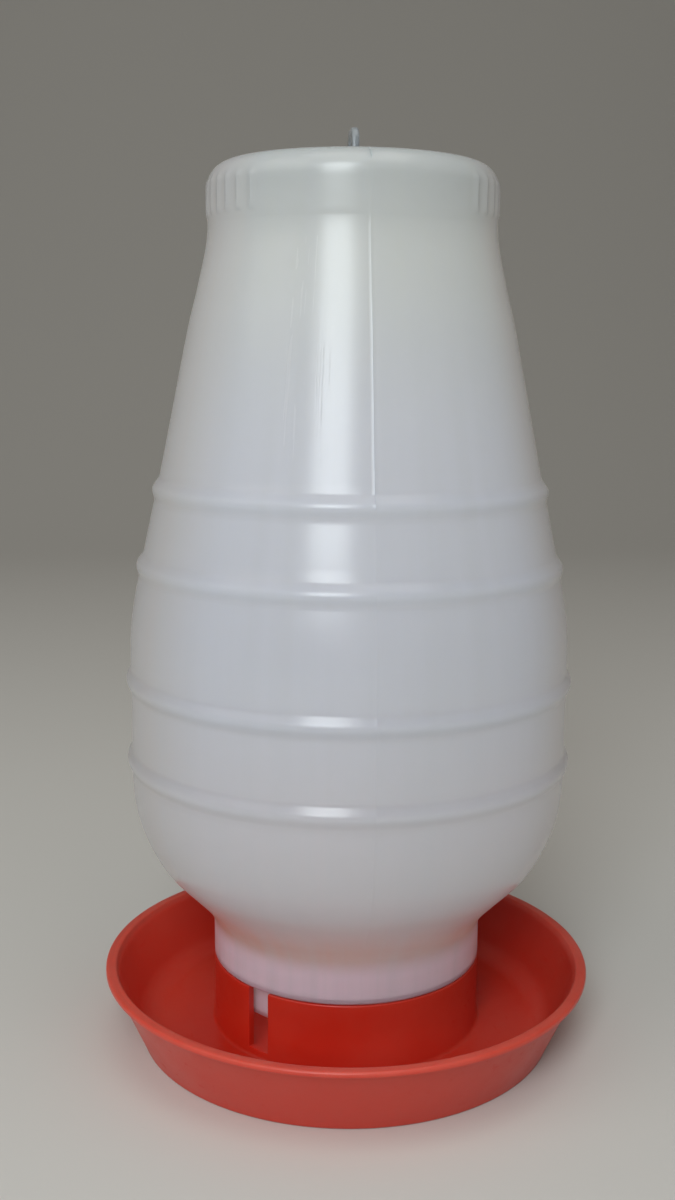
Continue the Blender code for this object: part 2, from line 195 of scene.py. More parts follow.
class DrinkerFinishSettings(bpy.types.PropertyGroup):
    """Colours of the two plastics."""

    # The milky colours by height are the plastic's own tint with painted light: greener at the grip band,
    # bluer on the body, warmer under the belly, as the room's light falls
    milky_top_with_painted_light: colour("Milky top", "Milky plastic at the grip band", (0.392, 0.440, 0.445))
    milky_middle_with_painted_light: colour("Milky middle", "Milky plastic of the body", (0.428, 0.475, 0.600))
    milky_low_with_painted_light: colour("Milky low", "Milky plastic under the belly", (0.440, 0.440, 0.500))
    # Painted shade and painted light: a darker, browner band in the crease over the neck, where shade falls
    # and the tray's red light shows
    painted_crease_shade_and_red_light: colour("Milky crease", "Over the neck, where the red tray shows in it", (0.48, 0.27, 0.235))
    # Painted light: the neck band's pink is painted red light from the tray, bounced onto the jar and shining
    # through its wall
    neck_with_painted_red_light: colour("Milky neck", "Milky plastic of the neck band", (0.84, 0.56, 0.75))
    milky_web: colour("Milky web", "Thin hanging tab, which lets more light through", (0.14, 0.145, 0.125))
    # Painted shade: a darker, warmer tone on the jar's left and right sides, where less light falls
    painted_side_shade: colour("Milky side", "Sides of the wall, stretched thin and yellowed", (0.400, 0.402, 0.425))
    milky_thin: colour("Milky thin", "Milky plastic where the wall is thinner", (0.378, 0.418, 0.485))
    speck: colour("Speck", "Dust specks in the milky plastic", (0.16, 0.14, 0.12))
    red_fresh: colour("Red", "Red plastic inside the tray", (0.60, 0.023, 0.009))
    red_faded: colour("Red faded", "Red plastic where light has faded it", (0.64, 0.048, 0.025))
    # Painted light: a lighter red on the tray's left side, where light falls
    painted_light_left_red: colour("Red sunned", "Red plastic on the side that stood in the sun", (0.92, 0.085, 0.045))
    red_outside: colour("Red outside", "Outer wall, faded by daylight", (0.60, 0.062, 0.038))
    red_worn: colour("Red worn", "Red plastic rubbed on the lip", (0.68, 0.092, 0.060))


class DrinkerStageSettings(bpy.types.PropertyGroup):
    """Camera and studio."""

    camera_azimuth: angle("Camera azimuth", "Turn of the camera round the drinker", -6.5)
    camera_distance: length("Camera distance", "Level distance from the drinker's axis", 0.5374)
    camera_height: length("Camera height", "Height over the floor", 0.2765)
    camera_yaw: angle("Camera yaw", "Turn of the camera off the axis", -0.50)
    camera_pitch: angle("Camera pitch", "How far the camera looks down", 10.07)
    camera_roll: angle("Camera roll", "Roll of the camera", 0.44)
    lens: FloatProperty(
        name="Lens", description="Focal length on a 36 mm wide frame", default=72.16, unit="CAMERA"
    )
    floor: colour("Floor", "Pale floor and backdrop", (0.68, 0.665, 0.635))


def smooth_share(stations, slopes_at_ends, share):
    """Reads a smooth curve through stations, at one share of its length."""
    slopes = [slopes_at_ends[0]]
    for before, after in zip(stations[:-2], stations[2:]):
        slopes.append((after[1] - before[1]) / (after[0] - before[0]))
    slopes.append(slopes_at_ends[1])
    index = 0
    while index < len(stations) - 2 and share > stations[index + 1][0]:
        index += 1
    left, right = stations[index], stations[index + 1]
    span = right[0] - left[0]
    t = min(max((share - left[0]) / span, 0.0), 1.0)
    return (
        (2 * t**3 - 3 * t**2 + 1) * left[1]
        + (t**3 - 2 * t**2 + t) * span * slopes[index]
        + (3 * t**2 - 2 * t**3) * right[1]
        + (t**3 - t**2) * span * slopes[index + 1]
    )


def body_radius(jar, height):
    """Outside of the jar's body at a height, hoops included."""
    if height <= jar.belly_low:
        share = (height - jar.crease) / (jar.belly_low - jar.crease)
        swell = smooth_share(LOWER_SWELL, LOWER_END_SLOPES, share)
        radius = jar.neck_radius + (jar.belly_radius - jar.neck_radius) * swell
    elif height <= jar.belly_high:
        radius = jar.belly_radius
    else:
        share = (height - jar.belly_high) / (jar.band_underside - jar.belly_high)
        taper = smooth_share(UPPER_TAPER, UPPER_END_SLOPES, share)
        radius = jar.belly_radius - (jar.belly_radius - jar.band_radius + jar.band_step) * taper
    for middle in HOOP_HEIGHTS:
        away = abs(height - middle) / (jar.hoop_width / 2)
        if away < 1.0:
            radius += jar.hoop_proud * (0.5 * (1.0 + math.cos(math.pi * away))) ** HOOP_POWER
    return radius


def arc(centre_r, centre_z, radius, start, end, steps):
    """Points of an arc in the (radius, height) plane, from one angle to another in degrees."""
    points = []
    for step in range(steps + 1):
        turned = math.radians(start + (end - start) * step / steps)
        points.append((centre_r + radius * math.cos(turned), centre_z + radius * math.sin(turned)))
    return points


def jar_rings(jar):
    """Rings of the jar's outside from the rim of the mouth up to the middle of the top."""
    edge = 0.5 * MM
    rings = [(jar.mouth_radius - edge, jar.mouth_rim)]
    rings += arc(jar.mouth_radius - edge, jar.mouth_rim + edge, edge, -60, 0, 3)
    rings.append((jar.mouth_radius, jar.shoulder - edge))
    rings.append((jar.mouth_radius + edge, jar.shoulder))
    rings.append((jar.neck_radius - 3 * edge, jar.shoulder))
    rings += arc(jar.neck_radius - 2 * edge, jar.shoulder + 2 * edge, 2 * edge, -90, 0, 5)
    fillet = 1.6 * MM
    rings += [(jar.neck_radius, jar.shoulder + 4 * MM), (jar.neck_radius, jar.crease - 2 * fillet)]
    rings += [(jar.neck_radius + 0.04 * MM, jar.crease - fillet), (jar.neck_radius + 0.24 * MM, jar.crease)]
    heights = {jar.band_underside}
    for low, high, steps in (
        (jar.crease + fillet, jar.belly_low, 20),
        (jar.belly_low, jar.belly_high, 12),
        (jar.belly_high, jar.band_underside, 34),
    ):
        heights |= {low + (high - low) * i / steps for i in range(steps)}
    clear = jar.hoop_width * 0.56
    heights = {h for h in heights if all(abs(h - middle) > clear for middle in HOOP_HEIGHTS)}
    for middle in HOOP_HEIGHTS:
        heights |= {middle + jar.hoop_width * (i / HOOP_STEPS - 0.5) for i in range(HOOP_STEPS + 1)}
    rings += [(body_radius(jar, height), height) for height in sorted(heights)]
    waist = jar.band_radius - jar.band_step
    for share in (0.25, 0.5, 0.75, 1.0):
        step = jar.band_step * (0.5 - 0.5 * math.cos(math.pi * share))
        rings.append((waist + step, jar.band_underside + share * 3.0 * MM))
    rings += [(jar.band_radius, jar.rib_low + rise * MM) for rise in (0.0, 0.5, 1.0, 1.6, 4.0, 7.0, 10.0)]
    top = jar.band_underside + jar.band_height
    flat_end = jar.band_radius - jar.top_edge
    rings += arc(flat_end, top - jar.top_crown - jar.top_edge, jar.top_edge, 0, 90, 12)
    for share in (0.8, 0.6, 0.4, 0.2, 0.04):
        rings.append((flat_end * share, top - jar.top_crown * share**2))
    return rings


def wall_lean(tray):
    """How far the tray's conical wall leans outwards for each unit of height."""
    outer_top = tray.rim_radius - tray.lip_width + tray.wall
    return (outer_top - tray.foot_radius) / (tray.height - tray.lip_thickness - tray.foot_rounding)


def tray_rings(tray):
    """Rings of the tray from the middle of its floor over the collar, trough and lip to the underside."""
    edge = 0.5 * MM
    bore = tray.collar_radius - tray.collar_wall
    floor = tray.floor_top
    rings = [(2 * MM, floor), (bore * 0.5, floor), (bore - 1.2 * MM, floor)]
    rings += arc(bore - 1.0 * MM, floor + 1.0 * MM, 1.0 * MM, -90, 0, 4)
    rings += [(bore, floor + 6 * MM), (bore, tray.collar_top - 6 * MM)]
    rings += arc(bore + edge, tray.collar_top - edge, edge, 180, 90, 4)
    rings += arc(tray.collar_radius - edge, tray.collar_top - edge, edge, 90, 0, 4)
    rings += [(tray.collar_radius, tray.collar_top - 6 * MM), (tray.collar_radius, floor + 6 * MM)]
    foot_fillet = 1.5 * MM
    rings += arc(tray.collar_radius + foot_fillet, floor + foot_fillet, foot_fillet, 180, 270, 6)
    lip_inner = tray.rim_radius - tray.lip_width
    outer_top = lip_inner + tray.wall
    lean = wall_lean(tray)
    sweep = 90.0 - math.degrees(math.atan(lean))
    wall_foot = lip_inner - lean * (tray.height - floor)
    centre_r = wall_foot - tray.fillet * math.tan(math.radians(sweep) / 2)
    rings += [(tray.collar_radius + (centre_r - tray.collar_radius) * 0.5, floor)]
    rings += arc(centre_r, floor + tray.fillet, tray.fillet, 270, 270 + sweep, 16)
    round_in = 1.1 * MM
    wall_top = tray.height - 1.6 * MM
    start_r = centre_r + tray.fillet * math.cos(math.radians(270 + sweep))
    start_z = floor + tray.fillet * (1 + math.sin(math.radians(270 + sweep)))
    for share in (0.3, 0.6, 0.9, 1.0):
        height = start_z + (wall_top - start_z) * share
        rings.append((start_r + lean * (height - start_z), height))
    rings += arc(lip_inner + round_in, tray.height - round_in, round_in, 165, 90, 5)
    rings += [(tray.rim_radius - 2.2 * MM, tray.height + 0.08 * MM)]
    rings += arc(tray.rim_radius - round_in, tray.height - round_in, round_in, 90, 0, 7)
    under = tray.height - tray.lip_thickness
    lip_corner = 0.4 * MM
    rings += arc(tray.rim_radius - lip_corner, under + lip_corner, lip_corner, 0, -90, 3)
    rings += arc(outer_top + edge, under - edge, edge, 90, 180, 3)
    low = tray.foot_rounding
    for share in (0.1, 0.5, 0.9):
        height = under - edge + (low - under + edge) * share
        rings.append((tray.foot_radius + lean * (height - low), height))
    rings += arc(tray.foot_radius - low, low, low, 0, -90, 5)
    foot_inner = tray.foot_radius - tray.foot_wall - low
    ease = 0.3 * MM
    rings += [(foot_inner + ease, 0.0), (foot_inner, ease)]
    underside = floor - tray.floor_thickness
    foot_corner = 0.4 * MM
    rings += [(foot_inner, underside - foot_corner), (foot_inner - foot_corner, underside)]
    rings += [(tray.collar_radius, underside), (20 * MM, underside)]
    # The stub of the moulding gate, in the middle of the underside
    gate_radius = 3.2 * MM
    stub = underside - 0.4 * MM
    rings += [(gate_radius, underside), (gate_radius - ease, stub), (1.2 * MM, stub)]
    return rings


def clear_selection():
    if bpy.context.mode != "OBJECT":
        bpy.ops.object.mode_set(mode="OBJECT")
    bpy.ops.object.select_all(action="DESELECT")


def make_active(obj):
    clear_selection()
    obj.select_set(True)
    bpy.context.view_layer.objects.active = obj


def select_by_place(obj, test):
    """In edit mode, selects the vertices whose place passes a test, and what lies between them."""
    bpy.ops.mesh.select_all(action="DESELECT")
    work = bmesh.from_edit_mesh(obj.data)
    inside = {vertex for vertex in work.verts if test(vertex.co)}
    if not inside:
        raise RuntimeError(f"{obj.name}: no vertex passed the test")
    for vertex in inside:
        vertex.select = True
    for part in (*work.edges, *work.faces):
        if all(vertex in inside for vertex in part.verts):
            part.select = True
    bmesh.update_edit_mesh(obj.data)


def extrude_rings(name, rings, facets):
    """Extrudes a circle from ring to ring up a turned wall."""
    clear_selection()
    radius, height = rings[0]
    bpy.ops.mesh.primitive_circle_add(vertices=facets, radius=radius, location=(0.0, 0.0, height))
    obj = bpy.context.object
    obj.name = name
    obj.data.name = name
    bpy.ops.object.transform_apply(location=True, rotation=True, scale=True)
    bpy.ops.object.mode_set(mode="EDIT")
    bpy.ops.mesh.select_all(action="SELECT")
    for (before_r, before_z), (after_r, after_z) in zip(rings[:-1], rings[1:]):
        rise = (0.0, 0.0, after_z - before_z)
        bpy.ops.mesh.extrude_region_move(TRANSFORM_OT_translate={"value": rise})
        grow = after_r / before_r
        bpy.ops.transform.resize(value=(grow, grow, 1.0), center_override=(0.0, 0.0, after_z))
    return obj


def recalculate():
    """Merges doubles and turns every face outwards, in edit mode."""
    bpy.ops.mesh.select_all(action="SELECT")
    bpy.ops.mesh.remove_doubles(threshold=0.001 * MM)
    bpy.ops.mesh.normals_make_consistent(inside=False)
    bpy.ops.mesh.select_all(action="DESELECT")


def apply_modifier(obj, kind, **values):
    """Adds a modifier, sets its values and applies it."""
    make_active(obj)
    modifier = obj.modifiers.new(kind.title(), kind)
    for name, value in values.items():
        setattr(modifier, name, value)
    bpy.ops.object.modifier_apply(modifier=modifier.name)


def soften_edges(obj, width, segments):
    """Rounds the edges that turn by more than 50 degrees."""
    apply_modifier(
        obj, "BEVEL", width=width, segments=segments, limit_method="ANGLE", angle_limit=math.radians(50)
    )


def boolean(obj, other, operation):
    """Joins another mesh to this one or cuts it out, and removes the other."""
    before = len(obj.data.polygons)
    apply_modifier(obj, "BOOLEAN", operation=operation, solver="EXACT", object=other)
    bpy.data.objects.remove(other, do_unlink=True)
    if not obj.data.polygons or len(obj.data.polygons) == before:
        raise RuntimeError(f"{obj.name}: the {operation.lower()} changed nothing")


def smooth(obj, degrees):
    make_active(obj)
    bpy.ops.object.shade_smooth_by_angle(angle=math.radians(degrees))


def outward(azimuth):
    """Unit vector that points away from the axis. Azimuth 0 is -Y and it grows towards +X."""
    return Vector((math.sin(azimuth), -math.cos(azimuth), 0.0))


def azimuth_of(place):
    return math.atan2(place.x, -place.y)


def off_rib(place):
    """Angle from a place to the nearest grip rib, or None away from the two rib fields."""
    from_side = abs(azimuth_of(place)) - math.pi / 2
    rib = round(from_side / RIB_PITCH)
    if abs(rib) > RIBS_EACH_SIDE_OF_MIDDLE:
        return None
    return abs(from_side - rib * RIB_PITCH)


def shape_grip_ribs(obj, jar):
    """Raises the two fields of upright ribs on the grip band, row by row, fading out at both ends."""
    facet = math.tau / JAR_FACETS
    near = 0.01 * MM
    fade = 1.7 * MM
    least_swell = 0.12
    flank_swell = 0.42
    rows = sorted({round(z, 6) for r, z in jar_rings(jar) if jar.rib_low < z + near and z < jar.rib_high})
    for row in rows:
        end = min(row - jar.rib_low, jar.rib_high - row) / fade
        swell = math.sin(math.pi / 2 * min(max(end, least_swell), 1.0))
        for columns_off, share in ((0, 1.0), (1, flank_swell)):

            def on_rib(place):
                if abs(place.z - row) > near or place.xy.length < jar.band_radius - 2 * jar.top_edge:
                    return False
                away = off_rib(place)
                return away is not None and abs(away - columns_off * facet) < facet * 0.2

            select_by_place(obj, on_rib)
            grow = (jar.band_radius + jar.rib_proud * swell * share) / jar.band_radius
            bpy.ops.transform.resize(value=(grow, grow, 1.0), center_override=(0.0, 0.0, row))


def shape_seam(obj, jar):
    """Raises the fine mould seam down the parting plane and over the top, and dents its short pinch mark."""
    for side in (-1, 1):
        bpy.ops.mesh.select_all(action="SELECT")
        bpy.ops.mesh.bisect(plane_co=(side * jar.seam_width / 2, 0.0, 0.0), plane_no=(1.0, 0.0, 0.0))
    near = 0.001 * MM
    top_hoop = HOOP_HEIGHTS[-1]
    edge_z = jar.band_underside + jar.band_height - jar.top_crown - jar.top_edge

    def on_seam(place, low, high):
        return abs(place.x) < near and low <= place.z < high

    for low, high, proud in (
        (jar.shoulder + 1.5 * MM, HOOP_HEIGHTS[1], 0.25),
        (HOOP_HEIGHTS[1], top_hoop, 0.35),
        (top_hoop, jar.band_underside, 1.0),
        (jar.band_underside, edge_z, 0.25),
    ):
        select_by_place(obj, lambda place: on_seam(place, low, high))
        grow = 1.0 + jar.seam_proud * proud / (0.5 * (body_radius(jar, low) + jar.band_radius))
        bpy.ops.transform.resize(value=(grow, grow, 1.0), center_override=(0.0, 0.0, low))
    select_by_place(obj, lambda place: abs(place.x) < near and place.z >= edge_z)
    bpy.ops.transform.translate(value=(0.0, 0.0, 0.6 * jar.seam_proud))
    pinch = edge_z + 0.72 * jar.top_edge
    reach = 1.9 * MM
    dent = (0.0, 0.36 * MM, -0.28 * MM)
    select_by_place(obj, lambda place: abs(place.x) < near and abs(place.z - pinch) < reach and place.y < 0.0)
    bpy.ops.transform.translate(value=dent)


def sweep_block(name, inner, outer, low, high, azimuth, sweep):
    """A short curved block: a small upright face swept round the axis."""
    clear_selection()
    middle = ((inner + outer) / 2, 0.0, (low + high) / 2)
    bpy.ops.mesh.primitive_plane_add(size=1.0, location=middle, rotation=(math.pi / 2, 0.0, 0.0))
    obj = bpy.context.object
    obj.name = name
    obj.scale = (outer - inner, high - low, 1.0)
    bpy.ops.object.transform_apply(location=True, rotation=True, scale=True)
    bpy.ops.object.mode_set(mode="EDIT")
    bpy.ops.mesh.select_all(action="SELECT")
    bpy.ops.mesh.spin(steps=10, dupli=False, angle=sweep, center=(0.0, 0.0, 0.0), axis=(0.0, 0.0, 1.0))
    recalculate()
    bpy.ops.object.mode_set(mode="OBJECT")
    soften_edges(obj, 0.35 * MM, 2)
    make_active(obj)
    obj.rotation_euler.z = start_turn(obj, azimuth)
    bpy.ops.object.transform_apply(location=True, rotation=True, scale=True)
    return obj


def start_turn(obj, azimuth):
    """Turn about the axis that brings the middle of a swept block to an azimuth."""
    middle = sum((vertex.co for vertex in obj.data.vertices), Vector()) / len(obj.data.vertices)
    return azimuth - azimuth_of(middle)


def model_slot_bar(tray):
    """A long bar across the collar that cuts both water slots, open at the top and down to the sill."""
    low = tray.floor_top + tray.slot_sill
    high = tray.collar_top + 4 * MM
    clear_selection()
    bpy.ops.mesh.primitive_cube_add(size=1.0, location=(0.0, 0.0, (low + high) / 2))
    bar = bpy.context.object
    bar.scale = (tray.slot_width, 2 * tray.collar_radius + 6 * MM, high - low)
    bar.rotation_euler.z = SLOT_AZIMUTH
    bpy.ops.object.transform_apply(location=True, rotation=True, scale=True)
    return bar


def copies_round(obj, count):
    """The object and its copies at equal turns, joined into one mesh."""
    copies = []
    for index in range(1, count):
        copy = obj.copy()
        copy.data = obj.data.copy()
        bpy.context.scene.collection.objects.link(copy)
        copies.append(copy)
        make_active(copy)
        copy.rotation_euler.z = math.tau * index / count
        bpy.ops.object.transform_apply(location=False, rotation=True, scale=False)
    make_active(obj)
    for copy in copies:
        copy.select_set(True)
    bpy.ops.object.join()
    return obj


def model_tab(jar):
    """The flat hanging tab: rounded corners, a hole, soft edges and a foot that flares into the top."""
    top = jar.band_underside + jar.band_height
    flare = 1.4 * MM
    low, high = top + flare, top + jar.tab_height
    clear_selection()
    bpy.ops.mesh.primitive_cube_add(size=1.0, location=(0.0, 0.0, (low + high) / 2))
    tab = bpy.context.object
    tab.name = "hanging_tab"
    tab.scale = (jar.tab_thickness, jar.tab_width, high - low)
    bpy.ops.object.transform_apply(location=True, rotation=True, scale=True)
    bpy.ops.object.mode_set(mode="EDIT")
    near = 0.01 * MM
    for side in (-1, 1):
        select_by_place(tab, lambda p: abs(p.z - high) < near and abs(p.y - side * jar.tab_width / 2) < near)
        bpy.ops.mesh.bevel(offset=jar.tab_corner, segments=10, affect="EDGES")
    select_by_place(tab, lambda p: abs(p.z - low) < near)
    down = (0.0, 0.0, -flare - jar.wall / 2)
    foot_growth = (2.2, 1.14, 1.0)
    bpy.ops.mesh.extrude_region_move(TRANSFORM_OT_translate={"value": down})
    bpy.ops.transform.resize(value=foot_growth, center_override=(0.0, 0.0, low))
    recalculate()
    bpy.ops.object.mode_set(mode="OBJECT")
    clear_selection()
    bpy.ops.mesh.primitive_cylinder_add(
        vertices=48, radius=jar.tab_hole, depth=8 * jar.tab_thickness,
        location=(0.0, 0.0, top + jar.tab_hole_height), rotation=(0.0, math.pi / 2, 0.0),
    )
    drill = bpy.context.object
    boolean(tab, drill, "DIFFERENCE")
    soften_edges(tab, 0.7 * MM, 4)
    return tab


def model_lugs(jar, tray):
    """The lugs on the mouth, in the gaps between the collar's catches."""
    play = 0.4 * MM
    lug_height = 3.0 * MM
    lug_proud = 1.7 * MM
    high = tray.collar_top - tray.catch_below_top - tray.catch_height - play
    lug = sweep_block(
        "mouth_lugs", jar.mouth_radius - jar.wall / 2, jar.mouth_radius + lug_proud, high - lug_height, high,
        LUG_AZIMUTH, LUG_SWEEP,
    )
    return copies_round(lug, tray.catch_count)


def model_catches(tray):
    """The catches inside the collar."""
    high = tray.collar_top - tray.catch_below_top
    bore = tray.collar_radius - tray.collar_wall
    catch = sweep_block(
        "catches", bore - tray.catch_proud, bore + tray.collar_wall / 2, high - tray.catch_height, high,
        CATCH_AZIMUTH, CATCH_SWEEP,
    )
    return copies_round(catch, tray.catch_count)


class Surface:
    """One new material, with short ways of adding to its nodes."""

    def __init__(self, name):
        self.material = bpy.data.materials.new(name)
        self.material.use_nodes = True
        self.nodes = self.material.node_tree.nodes
        self.links = self.material.node_tree.links
        self.shader = self.nodes["Principled BSDF"]
        self.place = self.add("ShaderNodeTexCoord").outputs["Object"]

    def feed(self, socket, value):
        """Links another node's output to an input, or gives the input a value of its own."""
        if hasattr(value, "links"):
            self.links.new(value, socket)
        else:
            socket.default_value = value

    def add(self, kind, **values):
        """Adds a node. Values name its attributes, or its inputs by label with spaces as underscores."""
        node = self.nodes.new(kind)
        for name, value in values.items():
            if hasattr(node, name):
                setattr(node, name, value)
            else:
                self.feed(node.inputs[name.replace("_", " ")], value)
        return node

    def set_shader(self, **values):
        """Feeds the shader's inputs, named by label with spaces as underscores."""
        for name, value in values.items():
            self.feed(self.shader.inputs[name.replace("_", " ")], value)

    def axes(self):
        """The object's own coordinates, one by one."""
        apart = self.add("ShaderNodeSeparateXYZ", Vector=self.place)
        return apart.outputs["X"], apart.outputs["Y"], apart.outputs["Z"]

    def noise(self, scale, stretch=(1.0, 1.0, 1.0), detail=2.0, roughness=0.5, place=None):
        """A noise over the object's own coordinates, or over another place, stretched along the axes."""
        source = self.place if place is None else place
        mapping = self.add("ShaderNodeMapping", Vector=source, Scale=stretch)
        noise = self.add(
            "ShaderNodeTexNoise", Vector=mapping.outputs["Vector"], Scale=scale, Detail=detail,
            Roughness=roughness,
        )
        return noise.outputs["Fac"]

    def ranged(self, value, low, high, to_low=0.0, to_high=1.0):
        """Spreads one range of a value over another with eased ends, and clamps it."""
        node = self.add(
            "ShaderNodeMapRange", interpolation_type="SMOOTHSTEP", Value=value, From_Min=low, From_Max=high,
            To_Min=to_low, To_Max=to_high,
        )
        return node.outputs["Result"]

    def mixed(self, factor, first, second):
        """Mixes two colours, each a socket or a colour, by a factor."""
        node = self.add("ShaderNodeMix", data_type="RGBA", Factor=factor)
        colour_inputs = [socket for socket in node.inputs if socket.type == "RGBA"]
        for socket, value in zip(colour_inputs, (first, second)):
            self.feed(socket, value if hasattr(value, "links") else (*value, 1.0))
        return next(socket for socket in node.outputs if socket.type == "RGBA")

    def calculated(self, operation, *values):
        """One arithmetic step on values that are each a socket or a number."""
        node = self.add("ShaderNodeMath", operation=operation)
        for socket, value in zip(node.inputs, values):
            self.feed(socket, value)
        return node.outputs["Value"]

    def product(self, first, *others):
        """Multiplies values that are each a socket or a number."""
        for other in others:
            first = self.calculated("MULTIPLY", first, other)
        return first

    def dent(self, relief, strength, depth):
        """Raises and lowers the shaded surface by a relief."""
        bump = self.add("ShaderNodeBump", Strength=strength, Distance=depth, Height=relief)
        self.set_shader(Normal=bump.outputs["Normal"])


def milky_specks(skin):
    """Rare small dots, 1 in a speck: about one cell in seventy holds one."""
    cells = skin.add("ShaderNodeTexVoronoi", Scale=55.0, Vector=skin.place)
    chosen = skin.add("ShaderNodeSeparateColor", Color=cells.outputs["Color"])
    rare = skin.calculated("GREATER_THAN", chosen.outputs["Red"], 0.985)
    dot = skin.calculated("LESS_THAN", cells.outputs["Distance"], 0.045)
    return skin.product(rare, dot)


def milky_colour(skin, finish, jar, turn, rise, die_lines):
    """The milky plastic's colour: height bands with painted light and shade, painted side shade, clouds, die
    lines and specks.
    """
    tab_foot = jar.band_underside + jar.band_height
    # Bands by height: the plastic's tint with painted light, painted red light from the tray on the neck and
    # painted shade in the crease
    base = finish.neck_with_painted_red_light
    for low, high, tint in (
        (jar.crease - 7 * MM, jar.crease + 2 * MM, finish.painted_crease_shade_and_red_light),
        (jar.crease + 6 * MM, jar.crease + 24 * MM, finish.milky_low_with_painted_light),
        (jar.belly_low - 17 * MM, jar.belly_high + 7 * MM, finish.milky_middle_with_painted_light),
        (jar.band_underside - 85.5 * MM, jar.band_underside - 5.5 * MM, finish.milky_top_with_painted_light),
        (tab_foot + 0.5 * MM, tab_foot + 3 * MM, finish.milky_web),
    ):
        base = skin.mixed(skin.ranged(rise, low, high), base, tint)
    clouds = skin.noise(11.0, (1.0, 1.0, 0.6), detail=1.0)
    base = skin.mixed(skin.ranged(clouds, 0.2, 0.8, 0.0, 0.5), base, finish.milky_thin)
    # Painted shade: the wall turns darker and warmer furthest from the parting line, at its left and right
    # sides
    sideways = skin.calculated("ABSOLUTE", skin.calculated("SINE", turn))
    over_neck = skin.ranged(rise, jar.crease + 8 * MM, jar.crease + 25 * MM)
    base = skin.mixed(skin.product(skin.ranged(sideways, 0.62, 1.0), over_neck), base, finish.painted_side_shade)
    base = skin.mixed(skin.ranged(die_lines, 0.3, 0.8, 0.0, 0.3), base, finish.milky_thin)
    return skin.mixed(milky_specks(skin), base, finish.speck)


def milky_scratches(skin, turn, rise, unrolled):
    """Hair-thin upright scratches in one rubbed patch left of the front: 1 in a scratch, 0 beside it."""
    hairs = skin.ranged(skin.noise(1500.0, (1.0, 1.0, 0.006), detail=0.0, place=unrolled), 0.56, 0.66)
    breaks = skin.ranged(skin.noise(420.0, (1.0, 1.0, 0.09), detail=1.0, place=unrolled), 0.48, 0.58)
    off_middle = skin.calculated("ABSOLUTE", skin.calculated("SUBTRACT", turn, RUB_AZIMUTH))
    near_middle = skin.ranged(off_middle, RUB_HALF_SWEEP, RUB_HALF_SWEEP - 0.09)
    over_low_end = skin.ranged(rise, RUB_LOW, RUB_LOW + 28 * MM)
    under_high_end = skin.ranged(rise, RUB_HIGH, RUB_HIGH - 10 * MM)
    return skin.product(hairs, near_middle, over_low_end, under_high_end, breaks)


def milky_plastic(finish, jar):
    """Translucent milky polyethylene: cloudy, with faint upright die lines, fine scratches and specks."""
    skin = Surface(JAR_SLOT)
    across, along, rise = skin.axes()
    turn = skin.calculated("ARCTAN2", across, skin.product(along, -1.0))
    # The parison is drawn down its own length, so lines and rubs follow the wall: place round it, then height
    place_round = skin.product(turn, jar.band_radius)
    unrolled = skin.add("ShaderNodeCombineXYZ", X=place_round, Z=rise).outputs["Vector"]
    die_lines = skin.noise(130.0, (1.0, 1.0, 0.02), detail=3.0, place=unrolled)
    scratches = milky_scratches(skin, turn, rise, unrolled)
    # The denoiser draws a contour where a roughness crosses 0.27, so the smudges stay under it
    smudges = skin.ranged(skin.noise(22.0, (1.0, 1.0, 0.5)), 0.2, 0.8, 0.215, 0.255)
    relief = skin.calculated("SUBTRACT", skin.product(die_lines, 0.25), skin.product(scratches, 0.16))
    skin.dent(relief, 0.35, 0.3 * MM)
    skin.set_shader(
        Base_Color=milky_colour(skin, finish, jar, turn, rise, die_lines),
        Roughness=skin.calculated("ADD", smudges, skin.product(scratches, 0.15)),
        Subsurface_Weight=1.0, Subsurface_Radius=(1.0, 1.0, 0.95), Subsurface_Scale=14 * MM,
        IOR=1.5, Specular_IOR_Level=0.5,
    )
    return skin.material


def red_colour(skin, finish, tray):
    """The red plastic's colour: faded patches, a painted lighter left side, the faded outer wall and the
    rubbed lip.
    """
    across, along, rise = skin.axes()
    squares = [skin.product(way, way) for way in (across, along)]
    radius = skin.calculated("SQRT", skin.calculated("ADD", *squares))
    fading = skin.ranged(skin.noise(16.0, detail=5.0, roughness=0.55), 0.35, 0.75)
    base = skin.mixed(fading, finish.red_fresh, finish.red_faded)
    # Painted light: the tray turns lighter towards its left side
    base = skin.mixed(skin.ranged(across, -50 * MM, -95 * MM, 0.0, 0.8), base, finish.painted_light_left_red)
    # The wall leans, so its outside is told from its inside by how far from the axis it meets the ground
    at_ground = skin.calculated("SUBTRACT", radius, skin.product(rise, wall_lean(tray)))
    outside = skin.ranged(at_ground, tray.foot_radius - 2.1 * MM, tray.foot_radius - 1.1 * MM, 0.0, 0.8)
    base = skin.mixed(outside, base, finish.red_outside)
    at_top = skin.ranged(rise, tray.height - 2.4 * MM, tray.height - 0.6 * MM)
    rubbed = skin.ranged(skin.noise(60.0, detail=5.0, roughness=0.65), 0.25, 0.65, 0.35, 0.9)
    on_lip = skin.calculated("GREATER_THAN", radius, tray.rim_radius - 10 * MM)
    return skin.mixed(skin.product(at_top, rubbed, on_lip), base, finish.red_worn)


